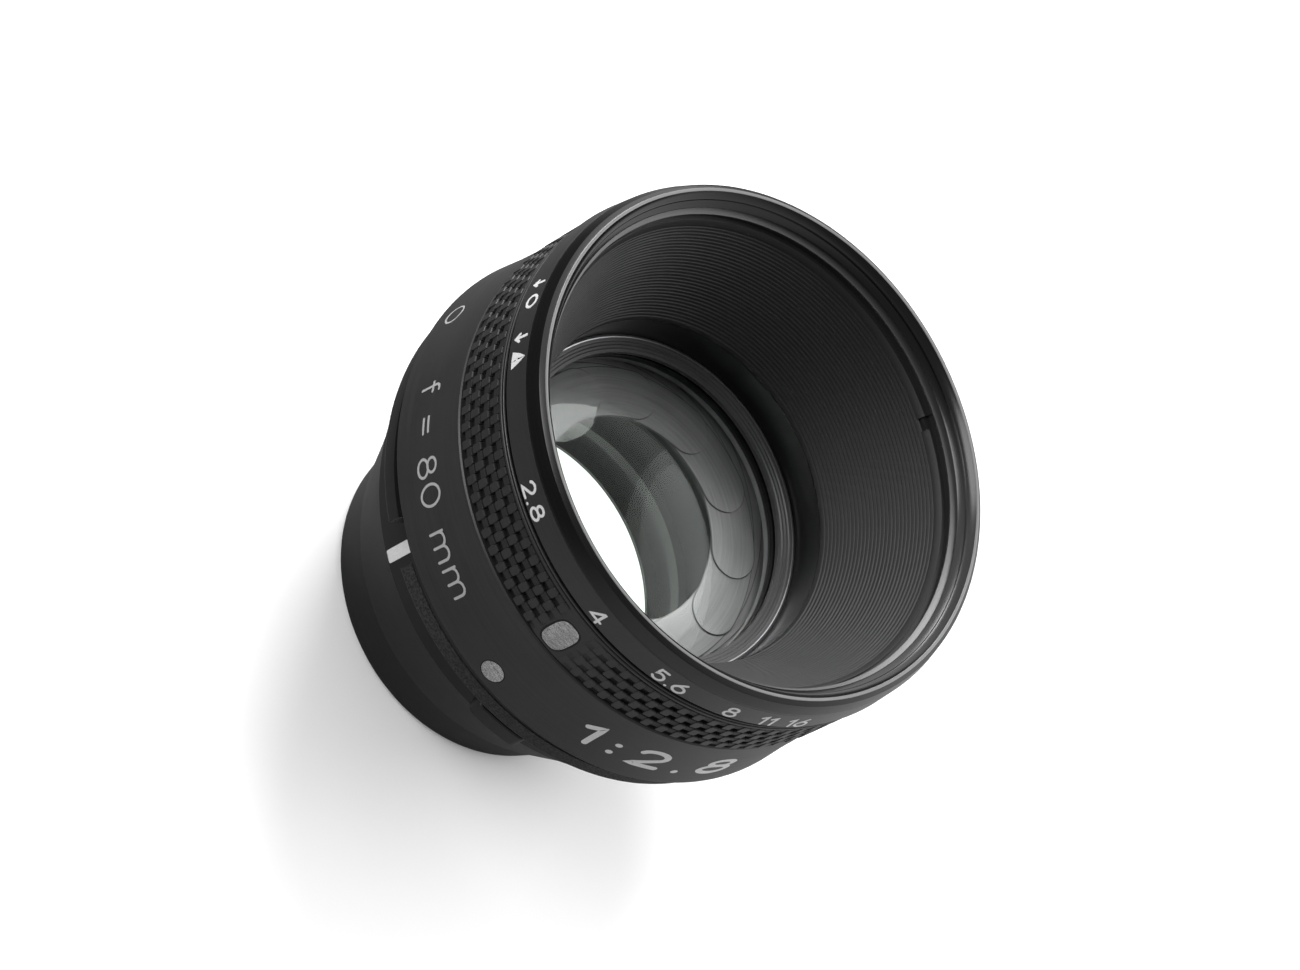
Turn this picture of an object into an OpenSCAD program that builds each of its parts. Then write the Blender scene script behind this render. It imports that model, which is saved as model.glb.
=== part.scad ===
// Compact 80 mm lens with a front aperture ring, a twelve blade iris and a rear bayonet barrel.
// Millimetres. The optical axis is Z, the front of the lens is up, the rear rim stands on z = 0.
// The aperture ring is drawn at f/4, its rest setting.

/* [Body] */
// overall length from the rear rim to the front lip
lens_l = 46.2; // [40:0.1:60]
// radius of the widest part of the plain band
band_r = 25.95; // [24:0.05:30]
// radius of the bayonet land
land_r = 22.7; // [21:0.05:24]
// radius of the rear rim
rim_r = 16.4; // [15:0.1:18]
// width of each of the three bayonet lugs in degrees
lug_span = 14; // [10:1:60]
// direction of the first bayonet lug's leading end
lug_start = -84.7; // [-180:0.1:180]
// direction of the white index on the land
white_dir = -122.8; // [-180:0.1:180]
// number of grip rows
grip_rows = 4; // [2:1:6]

/* [Front] */
// crest radius of the 46 mm filter thread
filter_r = 22.65; // [20:0.05:24]
// pitch of the filter thread
filter_pitch = 0.75; // [0.5:0.05:1]
// number of fine ridges in the hood cone
hood_ridges = 27; // [10:1:40]
// direction of one spanner notch in the hood's rim
notch_dir = 61; // [0:1:180]

/* [Iris] */
// number of iris blades
blade_count = 12; // [12]
// radius of the circle of blade pivots
pivot_r = 19.0; // [18:0.1:20]
// radius of the blades' inner edge, which is the full opening
open_r = 13.3; // [12:0.1:14]
// ring turn from f/4 to f/2.8 in degrees
turn_open = 26.4; // [20:0.1:30]
// ring turn from f/4 to f/16 in degrees
turn_close = 52.5; // [45:0.1:60]
// blade turn for each degree of ring turn
blade_ratio = 0.4254; // [0.3:0.0001:0.6]

/* [Fits] */
// radial gap of a running fit
run_gap = 0.05; // [0.02:0.01:0.1]
// radial gap of pieces that are screwed or bonded together
seat_gap = 0.03; // [0.01:0.01:0.1]

/* [Hidden] */
$fn = 96;
eps = 0.01;

// heights of the main faces
land_z0 = 16.8;
land_z1 = 21.1;
flange_z0 = 21.3;
flange_z1 = 23.8;
band_z0 = 24.4;
band_z1 = 33.9;
grip_z1 = 40.95;
ring_z0 = 41.45;
tube_z1 = 42.9;
hood_z0 = 32.1;
hood_z1 = 43.8;

// radii of the nested tubes
tube_ri = 22.4;
tube_ro = 23.4;
core_r = tube_ri - 0.05;
skirt_ri = tube_ro + run_gap;
skirt_ro = 24.3;
sleeve_ri = skirt_ro + run_gap;
flange_ro = 25.0;
grip_base_r = 25.0;
grip_r = 25.5;
bore_r = 15.3;
seat_r = 13.9;

// bayonet lugs, each let into a shallow pocket of the land
lug_z0 = 18.7;
lug_z1 = 20.6;
lug_ro = 24.8;
lug_seat_r = 22.3;

// aperture ring, its skirt and the tongue that turns the iris
skirt_z0 = 36;
groove_z = 38.5;
groove_h = 1.2;
groove_r = 23.95;
tongue_dir = 103;
tongue_w = 14;
tongue_z0 = 24.15;
tab_w = 6;
stop_gap = 1;

// iris stack
base_z0 = 22.0;
base_t = 0.7;
blade_z0 = 22.8;
blade_t = 0.1;
blade_pitch = 0.14;
blade_ro = 18.2;
blade_tip = -108;
blade_root = 4;
pivot_pin_r = 0.4;
drive_pin_r = 0.25;
drive_arm = 5;
drive_dir = 100;
ear_r = 1.2;
tail_r = 0.8;
cam_z0 = 24.55;
cam_t = 0.7;
cam_ri = 15.0;
cam_ro = tube_ri - 0.07;
cover_z0 = 25.35;
cover_t = 0.5;
slot_r = drive_pin_r + run_gap;

// front cell and glass
cell_z0 = 25.9;
cell_z1 = 32.05;
recess_r = 16.7;
front_seat_z = 27.2;
front_glass_r = 15.65;
glass_r = 15.2;
glass_fn = 240;

// ---------- helpers ----------

// plain ring between two radii and two heights
module ring(ri, ro, z0, z1) {
  rotate_extrude()
    polygon([[ri, z0], [ro, z0], [ro, z1], [ri, z1]]);
}

// flat wedge from the axis out to radius r, between two directions less than 180 degrees apart
module wedge2d(a0, a1, r) {
  am = (a0 + a1) / 2;
  k = r / cos((a1 - a0) / 4);
  polygon([[0, 0], [r * cos(a0), r * sin(a0)],
           [k * cos((a0 + am) / 2), k * sin((a0 + am) / 2)],
           [r * cos(am), r * sin(am)],
           [k * cos((am + a1) / 2), k * sin((am + a1) / 2)],
           [r * cos(a1), r * sin(a1)]]);
}

// wedge shaped block used to cut or keep a sector
module wedge(a0, a1, r, z0, z1) {
  translate([0, 0, z0])
    linear_extrude(height = z1 - z0)
      wedge2d(a0, a1, r);
}

// sector of a plain ring
module ring_sector(ri, ro, z0, z1, a0, a1) {
  intersection() {
    ring(ri, ro, z0, z1);
    wedge(a0, a1, ro * 1.5, z0 - 1, z1 + 1);
  }
}

// radial cylinder from radius r0 to r1 in a direction, at height z
module radial_pin(dir, r0, r1, z, pin_r) {
  rotate([0, 0, dir])
    translate([r0, 0, z])
      rotate([0, 90, 0])
        cylinder(r = pin_r, h = r1 - r0, $fn = 32);
}

// lens body between a rear and a front spherical face; a positive radius bulges outward
module glass_body(edge_r, zr, rr, zf, rf) {
  lo = zr - (rr > 0 ? 0 : 6);
  hi = zf + (rf > 0 ? 0 : 6);
  difference() {
    intersection() {
      translate([0, 0, lo])
        cylinder(r = edge_r, h = hi - lo);
      if (rr > 0) {
        translate([0, 0, zr + rr])
          sphere(r = rr, $fn = glass_fn);
      }
      if (rf > 0) {
        translate([0, 0, zf - rf])
          sphere(r = rf, $fn = glass_fn);
      }
    }
    if (rr < 0) {
      translate([0, 0, zr + rr])
        sphere(r = -rr, $fn = glass_fn);
    }
    if (rf < 0) {
      translate([0, 0, zf - rf])
        sphere(r = -rf, $fn = glass_fn);
    }
  }
}

// ---------- rear body ----------

module barrel_shell() {
  color([0.10, 0.10, 0.11])
    difference() {
      rotate_extrude()
        polygon([
          [seat_r, 0], [rim_r - 0.5, 0], [rim_r, 0.5],
          [17.9, 6.5], [18.3, 6.8],
          [land_r - 0.4, land_z0 - 0.4], [land_r, land_z0],
          [land_r, flange_z0], [tube_ri - seat_gap, flange_z0],
          [tube_ri - seat_gap, base_z0 - seat_gap], [bore_r, base_z0 - seat_gap],
          [bore_r, 1.4], [seat_r, 1.4]
        ]);
      rotate([0, 0, white_dir])
        translate([land_r - 0.35, -0.65, land_z0 + 0.1])
          cube([1, 1.3, 4.1]);
      for (i = [0 : 2])
        ring_sector(lug_seat_r, lug_ro, lug_z0 - eps, lug_z1 + eps,
                    lug_start + 120 * i - 0.05, lug_start + 120 * i + lug_span + 0.05);
    }
}

module center_tube() {
  color([0.13, 0.13, 0.14])
    difference() {
      ring(tube_ri, tube_ro, flange_z0, tube_z1);
      wedge(tongue_dir - turn_close - tab_w / 2 - stop_gap,
            tongue_dir + turn_open + tab_w / 2 + stop_gap, 40,
            cam_z0 - 0.2, cam_z0 + cam_t + 0.2);
      for (a = [30, 150, 270])
        radial_pin(a, 22, 24, groove_z, 0.5 + eps);
      for (a = [0, 120, 240])
        radial_pin(a, 22, 24, 29, 0.6 + eps);
    }
}

module flange_ring() {
  notch0 = white_dir - 4.9;
  notch1 = white_dir + 5.0;
  color([0.07, 0.07, 0.08])
    difference() {
      ring(tube_ro + seat_gap, flange_ro, flange_z0, flange_z1);
      wedge(notch0, notch1, 40, flange_z0 - 1, flange_z1 + 1);
      difference() {
        wedge(notch0 - 85, notch0 + 0.1, 40, flange_z0 + 1.5, flange_z1 + 1);
        cylinder(r = 24.0, h = 60);
      }
    }
}

module flange_strip() {
  color([0.16, 0.16, 0.16])
    ring_sector(flange_ro + eps, flange_ro + 0.12, flange_z0 + 0.15, flange_z0 + 1.8,
                white_dir + 5.4, white_dir + 118);
}

module bayonet_lug(i) {
  a0 = lug_start + 120 * i;
  color([0.09, 0.09, 0.10])
    difference() {
      intersection() {
        ring(lug_seat_r + eps, lug_ro, lug_z0, lug_z1);
        wedge(a0, a0 + lug_span, 40, 18, 21.2);
      }
      for (e = [a0, a0 + lug_span])
        rotate([0, 0, e])
          translate([lug_ro, 0, 18])
            rotate([0, 0, 45])
              translate([-0.55, -0.55, 0])
                cube([1.1, 1.1, 3]);
    }
}

// ---------- outer sleeves ----------

module band_sleeve() {
  win0 = tongue_dir - turn_close - tongue_w / 2 - stop_gap;
  win1 = tongue_dir + turn_open + tongue_w / 2 + stop_gap;
  color([0.14, 0.14, 0.15])
    difference() {
      union() {
        rotate_extrude()
          polygon([
            [sleeve_ri, band_z0], [band_r - 0.35, band_z0], [band_r, band_z0 + 0.35],
            [25.65, 28], [25.34, band_z1 - 0.15], [25.2, band_z1],
            [24.75, band_z1], [24.75, band_z1 + 1.1], [sleeve_ri, band_z1 + 1.1]
          ]);
        ring(tube_ro + seat_gap, sleeve_ri + 0.1, 26.2, 27.4);
      }
      intersection() {
        wedge(win0, win1, 40, 26, 27.6);
        cylinder(r = sleeve_ri, h = 60);
      }
      rotate([0, 0, -90])
        translate([25, 0, 26.6])
          rotate([0, 90, 0])
            cylinder(r = 1.2 + eps, h = 3, $fn = 48);
    }
}

// side view of the grip rows, from the rear edge line to the front rim
function grip_row(i) = let (z = 34.45 + i * 1.5) [
  [grip_base_r, z], [grip_r, z], [grip_r, z + 1.2], [grip_base_r, z + 1.2]
];

module grip_sleeve() {
  rows = [for (i = [0 : grip_rows - 1]) each grip_row(i)];
  color([0.08, 0.08, 0.09])
    difference() {
      rotate_extrude()
        polygon(concat(
          [[24.78, band_z1 + 0.05], [25.3, band_z1 + 0.05], [25.3, 34.3], [grip_base_r, 34.3]],
          rows,
          [[grip_base_r, 40.45], [grip_r, 40.45], [grip_r, grip_z1],
           [sleeve_ri, grip_z1], [sleeve_ri, 35.05], [24.78, 35.05]]
        ));
      rotate([0, 0, -90])
        dot_block(25.1, 2, 0.02);
    }
}

// rounded block of the index dot, lying in the direction of X
module dot_block(r0, h, grow) {
  translate([r0, 0, 37])
    rotate([0, 90, 0])
      linear_extrude(height = h)
        union() {
          square([4.4 + grow, 0.8], center = true);
          square([2.7, 2.5 + grow], center = true);
          for (x = [-1.35, 1.35])
            for (y = [-0.4, 0.4])
              translate([x, y])
                circle(r = 0.85 + grow / 2, $fn = 48);
        }
}

module edge_ring() {
  color([0.35, 0.35, 0.36])
    ring(24.45, 25.45, grip_z1 + 0.02, grip_z1 + 0.2);
}

module index_dot() {
  color([0.75, 0.75, 0.76])
    rotate([0, 0, -90])
      dot_block(25.1, 0.46, 0);
}

module mount_dot() {
  color([0.75, 0.75, 0.76])
    rotate([0, 0, -90])
      translate([25.02, 0, 26.6])
        rotate([0, 90, 0])
          cylinder(r = 1.2, h = 0.75, $fn = 48);
}

module white_index() {
  color([0.92, 0.92, 0.92])
    rotate([0, 0, white_dir])
      translate([land_r - 0.35 + eps, -0.64, land_z0 + 0.12])
        cube([0.4, 1.28, 4.06]);
}

// ---------- hood and front cell ----------

// ridged line of the hood's inner cone, from the rear end to the front end
function hood_line(r0, z0, r1, z1, n) = [
  for (i = [0 : n - 1]) each [
    [r0 + (r1 - r0) * i / n, z0 + (z1 - z0) * i / n],
    [r0 + (r1 - r0) * (i + 0.5) / n + 0.16, z0 + (z1 - z0) * (i + 0.5) / n - 0.05]
  ]
];

module hood_cone() {
  color([0.12, 0.12, 0.12])
    difference() {
      rotate_extrude()
        polygon(concat(
          [[22.17, 42.85], [22.9, hood_z1], [23.35, hood_z1], [23.35, tube_z1 + seat_gap],
           [core_r, tube_z1 + seat_gap], [core_r, hood_z0], [recess_r, hood_z0]],
          hood_line(recess_r + 0.05, hood_z0 + 0.35, 22.1, 42.6, hood_ridges)
        ));
      for (a = [notch_dir, notch_dir + 180])
        rotate([0, 0, a])
          translate([21.6, -0.65, 42.4])
            cube([1.5, 1.3, 3]);
    }
}

module front_cell() {
  color([0.05, 0.05, 0.06])
    difference() {
      rotate_extrude()
        polygon([
          [cam_ri, cell_z0], [core_r, cell_z0], [core_r, cell_z1], [recess_r, cell_z1],
          [recess_r, front_seat_z], [front_glass_r + seat_gap, front_seat_z],
          [front_glass_r + seat_gap, 26.35], [cam_ri, 26.35]
        ]);
      for (a = [0, 120, 240])
        radial_pin(a, 21.3, 24, 29, 0.6 + eps);
    }
}

module front_retaining_ring() {
  color([0.55, 0.55, 0.56])
    difference() {
      rotate_extrude()
        polygon([
          [15.0, front_seat_z + eps], [recess_r - seat_gap, front_seat_z + eps],
          [recess_r - seat_gap, 28.1], [16.35, 28.25], [15.9, 28.25],
          [15.8, 27.95], [15.5, 27.95], [15.4, 27.7], [15.0, 27.7]
        ]);
      front_dome(0.02);
      for (a = [20, 200])
        rotate([0, 0, a])
          translate([15.7, -0.6, 27.7])
            cube([2, 1.2, 1]);
    }
}

// bulge of the front glass, grown by g, cut out of the ring that holds it
module front_dome(g) {
  translate([0, 0, 29.9 - 46.7])
    sphere(r = 46.7 + g, $fn = glass_fn);
}

module front_element() {
  color([0.62, 0.68, 0.66, 0.4])
    glass_body(front_glass_r, 28.46, -60, 29.9, 46.7);
}

// ---------- iris ----------

module iris_base() {
  color([0.30, 0.30, 0.31])
    difference() {
      ring(13.6, tube_ri - seat_gap, base_z0, base_z0 + base_t);
      for (i = [0 : blade_count - 1])
        rotate([0, 0, i * 360 / blade_count])
          translate([pivot_r, 0, base_z0 - 1])
            cylinder(r = pivot_pin_r + 0.04, h = 3, $fn = 32);
    }
}

module iris_cover() {
  color([0.10, 0.10, 0.10])
    ring(cam_ri, tube_ri - seat_gap, cover_z0, cover_z0 + cover_t);
}

// place of a blade's drive pin when the ring stands at turn t from rest
function drive_at(t) = let (d = drive_dir - blade_ratio * (turn_open - t)) [
  pivot_r + drive_arm * cos(d), drive_arm * sin(d)
];
// the same place as seen from the turning cam ring
function slot_mid(t) = let (p = drive_at(t)) [
  p[0] * cos(t) + p[1] * sin(t), p[1] * cos(t) - p[0] * sin(t)
];
// unit vector square to the slot
function slot_side(t) = let (a = slot_mid(t - 0.5), b = slot_mid(t + 0.5), n = norm(b - a)) [
  (a[1] - b[1]) / n, (b[0] - a[0]) / n
];
slot_t0 = -turn_close - 1;
slot_t1 = turn_open + 1;
slot_steps = 14;
function slot_t(i) = slot_t0 + (slot_t1 - slot_t0) * i / slot_steps;

module cam_slot() {
  outer = [for (i = [0 : slot_steps]) slot_mid(slot_t(i)) + slot_r * slot_side(slot_t(i))];
  inner = [for (i = [slot_steps : -1 : 0]) slot_mid(slot_t(i)) - slot_r * slot_side(slot_t(i))];
  polygon(concat(outer, inner));
  for (t = [slot_t0, slot_t1])
    translate(slot_mid(t))
      circle(r = slot_r, $fn = 24);
}

module iris_cam_ring() {
  color([0.45, 0.45, 0.46])
    translate([0, 0, cam_z0])
      linear_extrude(height = cam_t)
        difference() {
          union() {
            circle(r = cam_ro, $fn = 180);
            intersection() {
              circle(r = skirt_ro - 0.05, $fn = 180);
              wedge2d(tongue_dir - tab_w / 2, tongue_dir + tab_w / 2, 40);
            }
          }
          circle(r = cam_ri, $fn = 180);
          for (i = [0 : blade_count - 1])
            rotate([0, 0, i * 360 / blade_count])
              cam_slot();
        }
}

// outline of one blade with its pivot on the X axis, fully open
module blade_outline() {
  p = [pivot_r, 0];
  q = p + drive_arm * [cos(drive_dir), sin(drive_dir)];
  s = tail_r * [cos(drive_dir - 90), sin(drive_dir - 90)];
  difference() {
    intersection() {
      circle(r = blade_ro, $fn = 180);
      wedge2d(blade_tip, blade_root, 30);
    }
    circle(r = open_r, $fn = 180);
  }
  translate(p)
    circle(r = ear_r, $fn = 48);
  translate(q)
    circle(r = tail_r, $fn = 48);
  polygon([p + s, q + s, q - s, p - s]);
  polygon([[blade_ro - 1, -2.4], [pivot_r, -ear_r], [pivot_r, ear_r], [blade_ro - 1, 1.1]]);
}

module iris_blade(i) {
  z = blade_z0 + i * blade_pitch;
  color([0.50, 0.50, 0.51])
    rotate([0, 0, i * 360 / blade_count])
      translate([pivot_r, 0, 0])
        rotate([0, 0, -blade_ratio * turn_open])
          translate([-pivot_r, 0, 0]) {
            translate([0, 0, z])
              linear_extrude(height = blade_t)
                blade_outline();
            translate([pivot_r, 0, base_z0 + 0.05])
              cylinder(r = pivot_pin_r, h = z - base_z0, $fn = 32);
            translate([pivot_r + drive_arm * cos(drive_dir), drive_arm * sin(drive_dir), z + 0.02])
              cylinder(r = drive_pin_r, h = cam_z0 + cam_t - 0.05 - z, $fn = 32);
          }
}

// ---------- rear optics ----------

module rear_retaining_ring() {
  color([0.12, 0.12, 0.13])
    ring(14.3, bore_r - seat_gap, 17.85, 19.4);
}

module doublet_front() {
  color([0.60, 0.68, 0.70, 0.4])
    glass_body(glass_r, 11.0, 40, 18.08, 400);
}

module doublet_rear() {
  color([0.60, 0.64, 0.60, 0.4])
    glass_body(glass_r, 8.03, -400, 10.98, -40);
}

module rear_spacer() {
  color([0.10, 0.10, 0.11])
    ring(14.3, bore_r - seat_gap, 6.6, 7.7);
}

module rear_element() {
  color([0.60, 0.68, 0.66, 0.4])
    glass_body(glass_r, 1.18, 400, 6.83, 400);
}

// ---------- fasteners ----------

module guide_screws() {
  color([0.60, 0.60, 0.62])
    for (a = [30, 150, 270])
      radial_pin(a, 22.62, 23.85, groove_z, 0.5);
}

module cell_screws() {
  color([0.40, 0.40, 0.42])
    for (a = [0, 120, 240])
      radial_pin(a, 21.4, 23.3, 29, 0.6);
}

// ---------- aperture ring ----------

// thread line from the shoulder up to the mouth, crests at the filter radius
function thread_line(n) = [
  for (i = [0 : n - 1]) let (z = 44.1 + i * filter_pitch) each [
    [filter_r, z], [filter_r, z + 0.15], [filter_r + 0.38, z + 0.4],
    [filter_r, z + 0.65]
  ]
];

module aperture_ring() {
  color([0.11, 0.11, 0.12])
    difference() {
      union() {
        rotate_extrude()
          polygon(concat(
            [[skirt_ri, skirt_z0], [skirt_ro, skirt_z0], [skirt_ro, ring_z0],
             [25.65, ring_z0], [25.3, 44.6], [24.88, lens_l - 0.3], [24.45, lens_l],
             [24.05, lens_l], [23.1, 45.75], [filter_r, 45.65]],
            [for (q = [len(thread_line(2)) - 1 : -1 : 0]) thread_line(2)[q]],
            [[filter_r, 44.0], [skirt_ri, 44.0], [skirt_ri, groove_z + groove_h / 2],
             [groove_r, groove_z + groove_h / 2], [groove_r, groove_z - groove_h / 2],
             [skirt_ri, groove_z - groove_h / 2]]
          ));
        ring_sector(skirt_ri, skirt_ro, tongue_z0, skirt_z0 + 0.5,
                    tongue_dir - tongue_w / 2, tongue_dir + tongue_w / 2);
      }
      wedge(tongue_dir - tab_w / 2 - 0.05, tongue_dir + tab_w / 2 + 0.05, 40,
            tongue_z0 - 1, cam_z0 + cam_t + 0.02);
    }
}

// ---------- nodes ----------

barrel_shell();
center_tube();
flange_ring();
flange_strip();
bayonet_lug(0);  // bayonet_lug_1
bayonet_lug(1);  // bayonet_lug_2
bayonet_lug(2);  // bayonet_lug_3
band_sleeve();
grip_sleeve();
edge_ring();
hood_cone();
front_cell();
front_retaining_ring();
front_element();
iris_base();
iris_cover();
iris_cam_ring();
iris_blade(0);  // iris_blade_01
iris_blade(1);  // iris_blade_02
iris_blade(2);  // iris_blade_03
iris_blade(3);  // iris_blade_04
iris_blade(4);  // iris_blade_05
iris_blade(5);  // iris_blade_06
iris_blade(6);  // iris_blade_07
iris_blade(7);  // iris_blade_08
iris_blade(8);  // iris_blade_09
iris_blade(9);  // iris_blade_10
iris_blade(10);  // iris_blade_11
iris_blade(11);  // iris_blade_12
rear_retaining_ring();
doublet_front();
doublet_rear();
rear_spacer();
rear_element();
index_dot();
mount_dot();
white_index();
guide_screws();
cell_screws();
aperture_ring();
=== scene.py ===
"""Looks of the compact 80 mm lens: turned shells, ridged hood, checkered grip, glass, iris, dial marks,
light and camera.

Lengths in the tables are millimetres and angles are degrees. build_mesh() turns lengths into metres in
the row frame. The optical axis is Z, the front of the lens is up, and the index dot faces -Y.
"""

import math

import bmesh
import bpy
from mathutils import Matrix, Vector


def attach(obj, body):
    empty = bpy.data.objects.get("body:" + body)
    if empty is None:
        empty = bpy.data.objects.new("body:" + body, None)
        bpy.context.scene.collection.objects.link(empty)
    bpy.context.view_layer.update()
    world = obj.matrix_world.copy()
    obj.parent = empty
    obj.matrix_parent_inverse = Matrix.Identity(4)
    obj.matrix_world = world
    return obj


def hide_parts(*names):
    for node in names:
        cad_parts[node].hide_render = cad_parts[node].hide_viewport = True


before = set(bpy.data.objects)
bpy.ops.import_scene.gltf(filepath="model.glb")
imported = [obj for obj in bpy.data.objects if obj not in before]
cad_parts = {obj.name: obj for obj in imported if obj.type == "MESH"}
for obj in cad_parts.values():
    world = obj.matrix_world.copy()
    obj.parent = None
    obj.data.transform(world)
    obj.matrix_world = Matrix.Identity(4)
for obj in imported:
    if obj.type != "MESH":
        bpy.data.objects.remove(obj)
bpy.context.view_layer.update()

MM = 0.001
FULL = 360.0
SMOOTH_ANGLE = 28
TURN_STEPS = 360
STEP_GAP = 0.02  # half the width in degrees of a step in a turned profile
TOUCHING = 1e-4  # points closer than this are one point

# camera
CAMERA_AT = (-87.129, -325.993, 410.728)
CAMERA_TARGET = (-3.64, -7.75, 38.75)
CAMERA_ROLL = 61.81
FOCAL_MM = 152.31
SENSOR_MM = 36.0

# radii and directions, as in the CAD
LAND_R = 22.7
DOT_DIR = -90.0
WHITE_DIR = -122.8
LUG_START = -84.7
LUG_SPAN = 14.0
LUG_COUNT = 3
NOTCH_DIR = 61.0
WINDOW = (42.5, 137.4)
BLADE_COUNT = 12
PIVOT_R = 19.0


# ---------- meshes ----------

def build_mesh(name, verts, faces, material):
    """A new object from millimetre vertices, with outward normals and edges sharp above SMOOTH_ANGLE."""
    bm = bmesh.new()
    points = [bm.verts.new(Vector(v) * MM) for v in verts]
    for face in faces:
        bm.faces.new([points[i] for i in face])
    bmesh.ops.remove_doubles(bm, verts=bm.verts, dist=1e-7)
    bmesh.ops.recalc_face_normals(bm, faces=bm.faces)
    mesh = bpy.data.meshes.new(name)
    bm.to_mesh(mesh)
    bm.free()
    mesh.materials.append(material)
    mesh.shade_smooth()
    mesh.set_sharp_from_angle(angle=math.radians(SMOOTH_ANGLE))
    obj = bpy.data.objects.new(name, mesh)
    bpy.context.scene.collection.objects.link(obj)
    return obj


def at(r, theta, z):
    """Point at radius r, direction theta and height z."""
    a = math.radians(theta)
    return (r * math.cos(a), r * math.sin(a), z)


def spread(start, stop, count):
    """count evenly spaced numbers from start to stop."""
    return [start + (stop - start) * i / (count - 1) for i in range(count)]


def apart(face, verts):
    """The face's corners without those that fall on an earlier one."""
    corners = []
    for c in face:
        if all(math.dist(verts[c], verts[d]) > TOUCHING for d in corners):
            corners.append(c)
    return corners


def stepped_turn(edges, clear):
    """Directions of a full turn with a close pair at each edge, and no others within clear of it."""
    thetas = [FULL * i / TURN_STEPS for i in range(TURN_STEPS)]
    thetas = [t for t in thetas if all(abs(t - e) > clear for e in edges)]
    for e in edges:
        thetas += [e - STEP_GAP, e + STEP_GAP]
    thetas.sort()
    return thetas + [thetas[0] + FULL]


def turned(name, profile, material, thetas=None):
    """Body swept round the axis. profile is a closed list of (r, z) or a function of theta that gives one.
    Without thetas it is a full turn."""
    whole = thetas is None
    if whole:
        thetas = [FULL * i / TURN_STEPS for i in range(TURN_STEPS)]
    elif abs(thetas[-1] - thetas[0] - FULL) < 1e-6:
        whole = True
        thetas = thetas[:-1]
    profile_at = profile if callable(profile) else lambda theta: profile
    columns = [profile_at(t) for t in thetas]
    n, m = len(thetas), len(columns[0])
    verts = [at(r, t, z) for t, column in zip(thetas, columns) for r, z in column]
    faces = []
    for i in range(n if whole else n - 1):
        j = (i + 1) % n
        for k in range(m):
            q = (k + 1) % m
            corners = apart([i * m + k, j * m + k, j * m + q, i * m + q], verts)
            if len(corners) > 2:
                faces.append(corners)
    if not whole:
        faces.append(list(range(m)))
        faces.append([(n - 1) * m + k for k in range(m)][::-1])
    return build_mesh(name, verts, faces, material)


def fillet(points, radii, steps=4):
    """Closed outline with the corners named in radii {index: radius} rounded."""
    out = []
    n = len(points)
    for i, p in enumerate(points):
        r = radii.get(i, 0)
        if not r:
            out.append(p)
            continue
        a, b, c = Vector(points[i - 1]), Vector(p), Vector(points[(i + 1) % n])
        u, w = (a - b).normalized(), (c - b).normalized()
        half = u.angle(w) / 2
        reach = min(r / math.tan(half), 0.45 * (a - b).length, 0.45 * (c - b).length)
        radius = reach * math.tan(half)
        centre = b + (u + w).normalized() * (radius / math.sin(half))
        start, end = b + u * reach - centre, b + w * reach - centre
        turn = start.angle_signed(end)
        for s in range(steps + 1):
            arm = start.copy()
            arm.rotate(Matrix.Rotation(-turn * s / steps, 2))
            out.append(tuple(centre + arm))
    return out


# ---------- materials ----------

class Paint:
    """Builds a material's nodes."""

    def __init__(self, name):
        self.material = bpy.data.materials.new(name)
        self.material.use_nodes = True
        self.tree = self.material.node_tree
        self.tree.nodes.clear()
        self.output = self.tree.nodes.new("ShaderNodeOutputMaterial")

    def put(self, kind, settings=None, out=0, **values):
        """Adds a node and gives its output socket. Inputs go by name, or by number as i0, i1 and so on, and
        take a number, a colour or another node's socket."""
        node = self.tree.nodes.new("ShaderNode" + kind)
        for key, value in (settings or {}).items():
            setattr(node, key, value)
        for key, value in values.items():
            numbered = key[0] == "i" and key[1:].isdigit()
            socket = node.inputs[int(key[1:]) if numbered else key.replace("_", " ")]
            if isinstance(value, bpy.types.NodeSocket):
                self.tree.links.new(value, socket)
            else:
                socket.default_value = value
        return node.outputs[out]

    def math(self, operation, a, b=0.0, c=0.0):
        return self.put("Math", {"operation": operation}, i0=a, i1=b, i2=c)

    def ramp(self, value, stops):
        """Colour ramp with the stops (position, colour)."""
        socket = self.put("ValToRGB", i0=value)
        elements = socket.node.color_ramp.elements
        while len(elements) < len(stops):
            elements.new(0.5)
        for element, (place, tone) in zip(elements, stops):
            element.position = place
            element.color = (*tone, 1)
        return socket

    def place(self):
        """Object coordinates, which are the row frame's metres at rest."""
        return self.put("TexCoord", out=3)

    def flat_place(self):
        """The place without its height."""
        x, y = (self.put("SeparateXYZ", out=k, i0=self.place()) for k in range(2))
        return self.put("CombineXYZ", i0=x, i1=y)

    def length(self, vector):
        return self.put("VectorMath", {"operation": "LENGTH"}, out=1, i0=vector)

    def turned_place(self, around, across):
        """Coordinates stretched round the axis: around cells per radian, one cell each across metres."""
        z = self.put("SeparateXYZ", out=2, i0=self.place())
        flat = self.flat_place()
        r = self.length(flat)
        unit = self.put("VectorMath", {"operation": "NORMALIZE"}, i0=flat)
        ux, uy = (self.put("SeparateXYZ", out=k, i0=unit) for k in range(2))
        line = self.math("MULTIPLY", self.math("ADD", r, z), 1 / across)
        return self.put("CombineXYZ", i0=self.math("MULTIPLY", ux, around),
                        i1=self.math("MULTIPLY", uy, around), i2=line)

    def noise(self, vector, scale, detail=2.0, rough=0.5):
        return self.put("TexNoise", Vector=vector, Scale=scale, Detail=detail, Roughness=rough)

    def bump(self, height, strength, distance, normal=None):
        values = {"Height": height, "Strength": strength, "Distance": distance}
        if normal is not None:
            values["Normal"] = normal
        return self.put("Bump", **values)

    def finish(self, shader):
        """Links the shader to the output and gives the material."""
        self.tree.links.new(shader, self.output.inputs[0])
        return self.material


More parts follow.
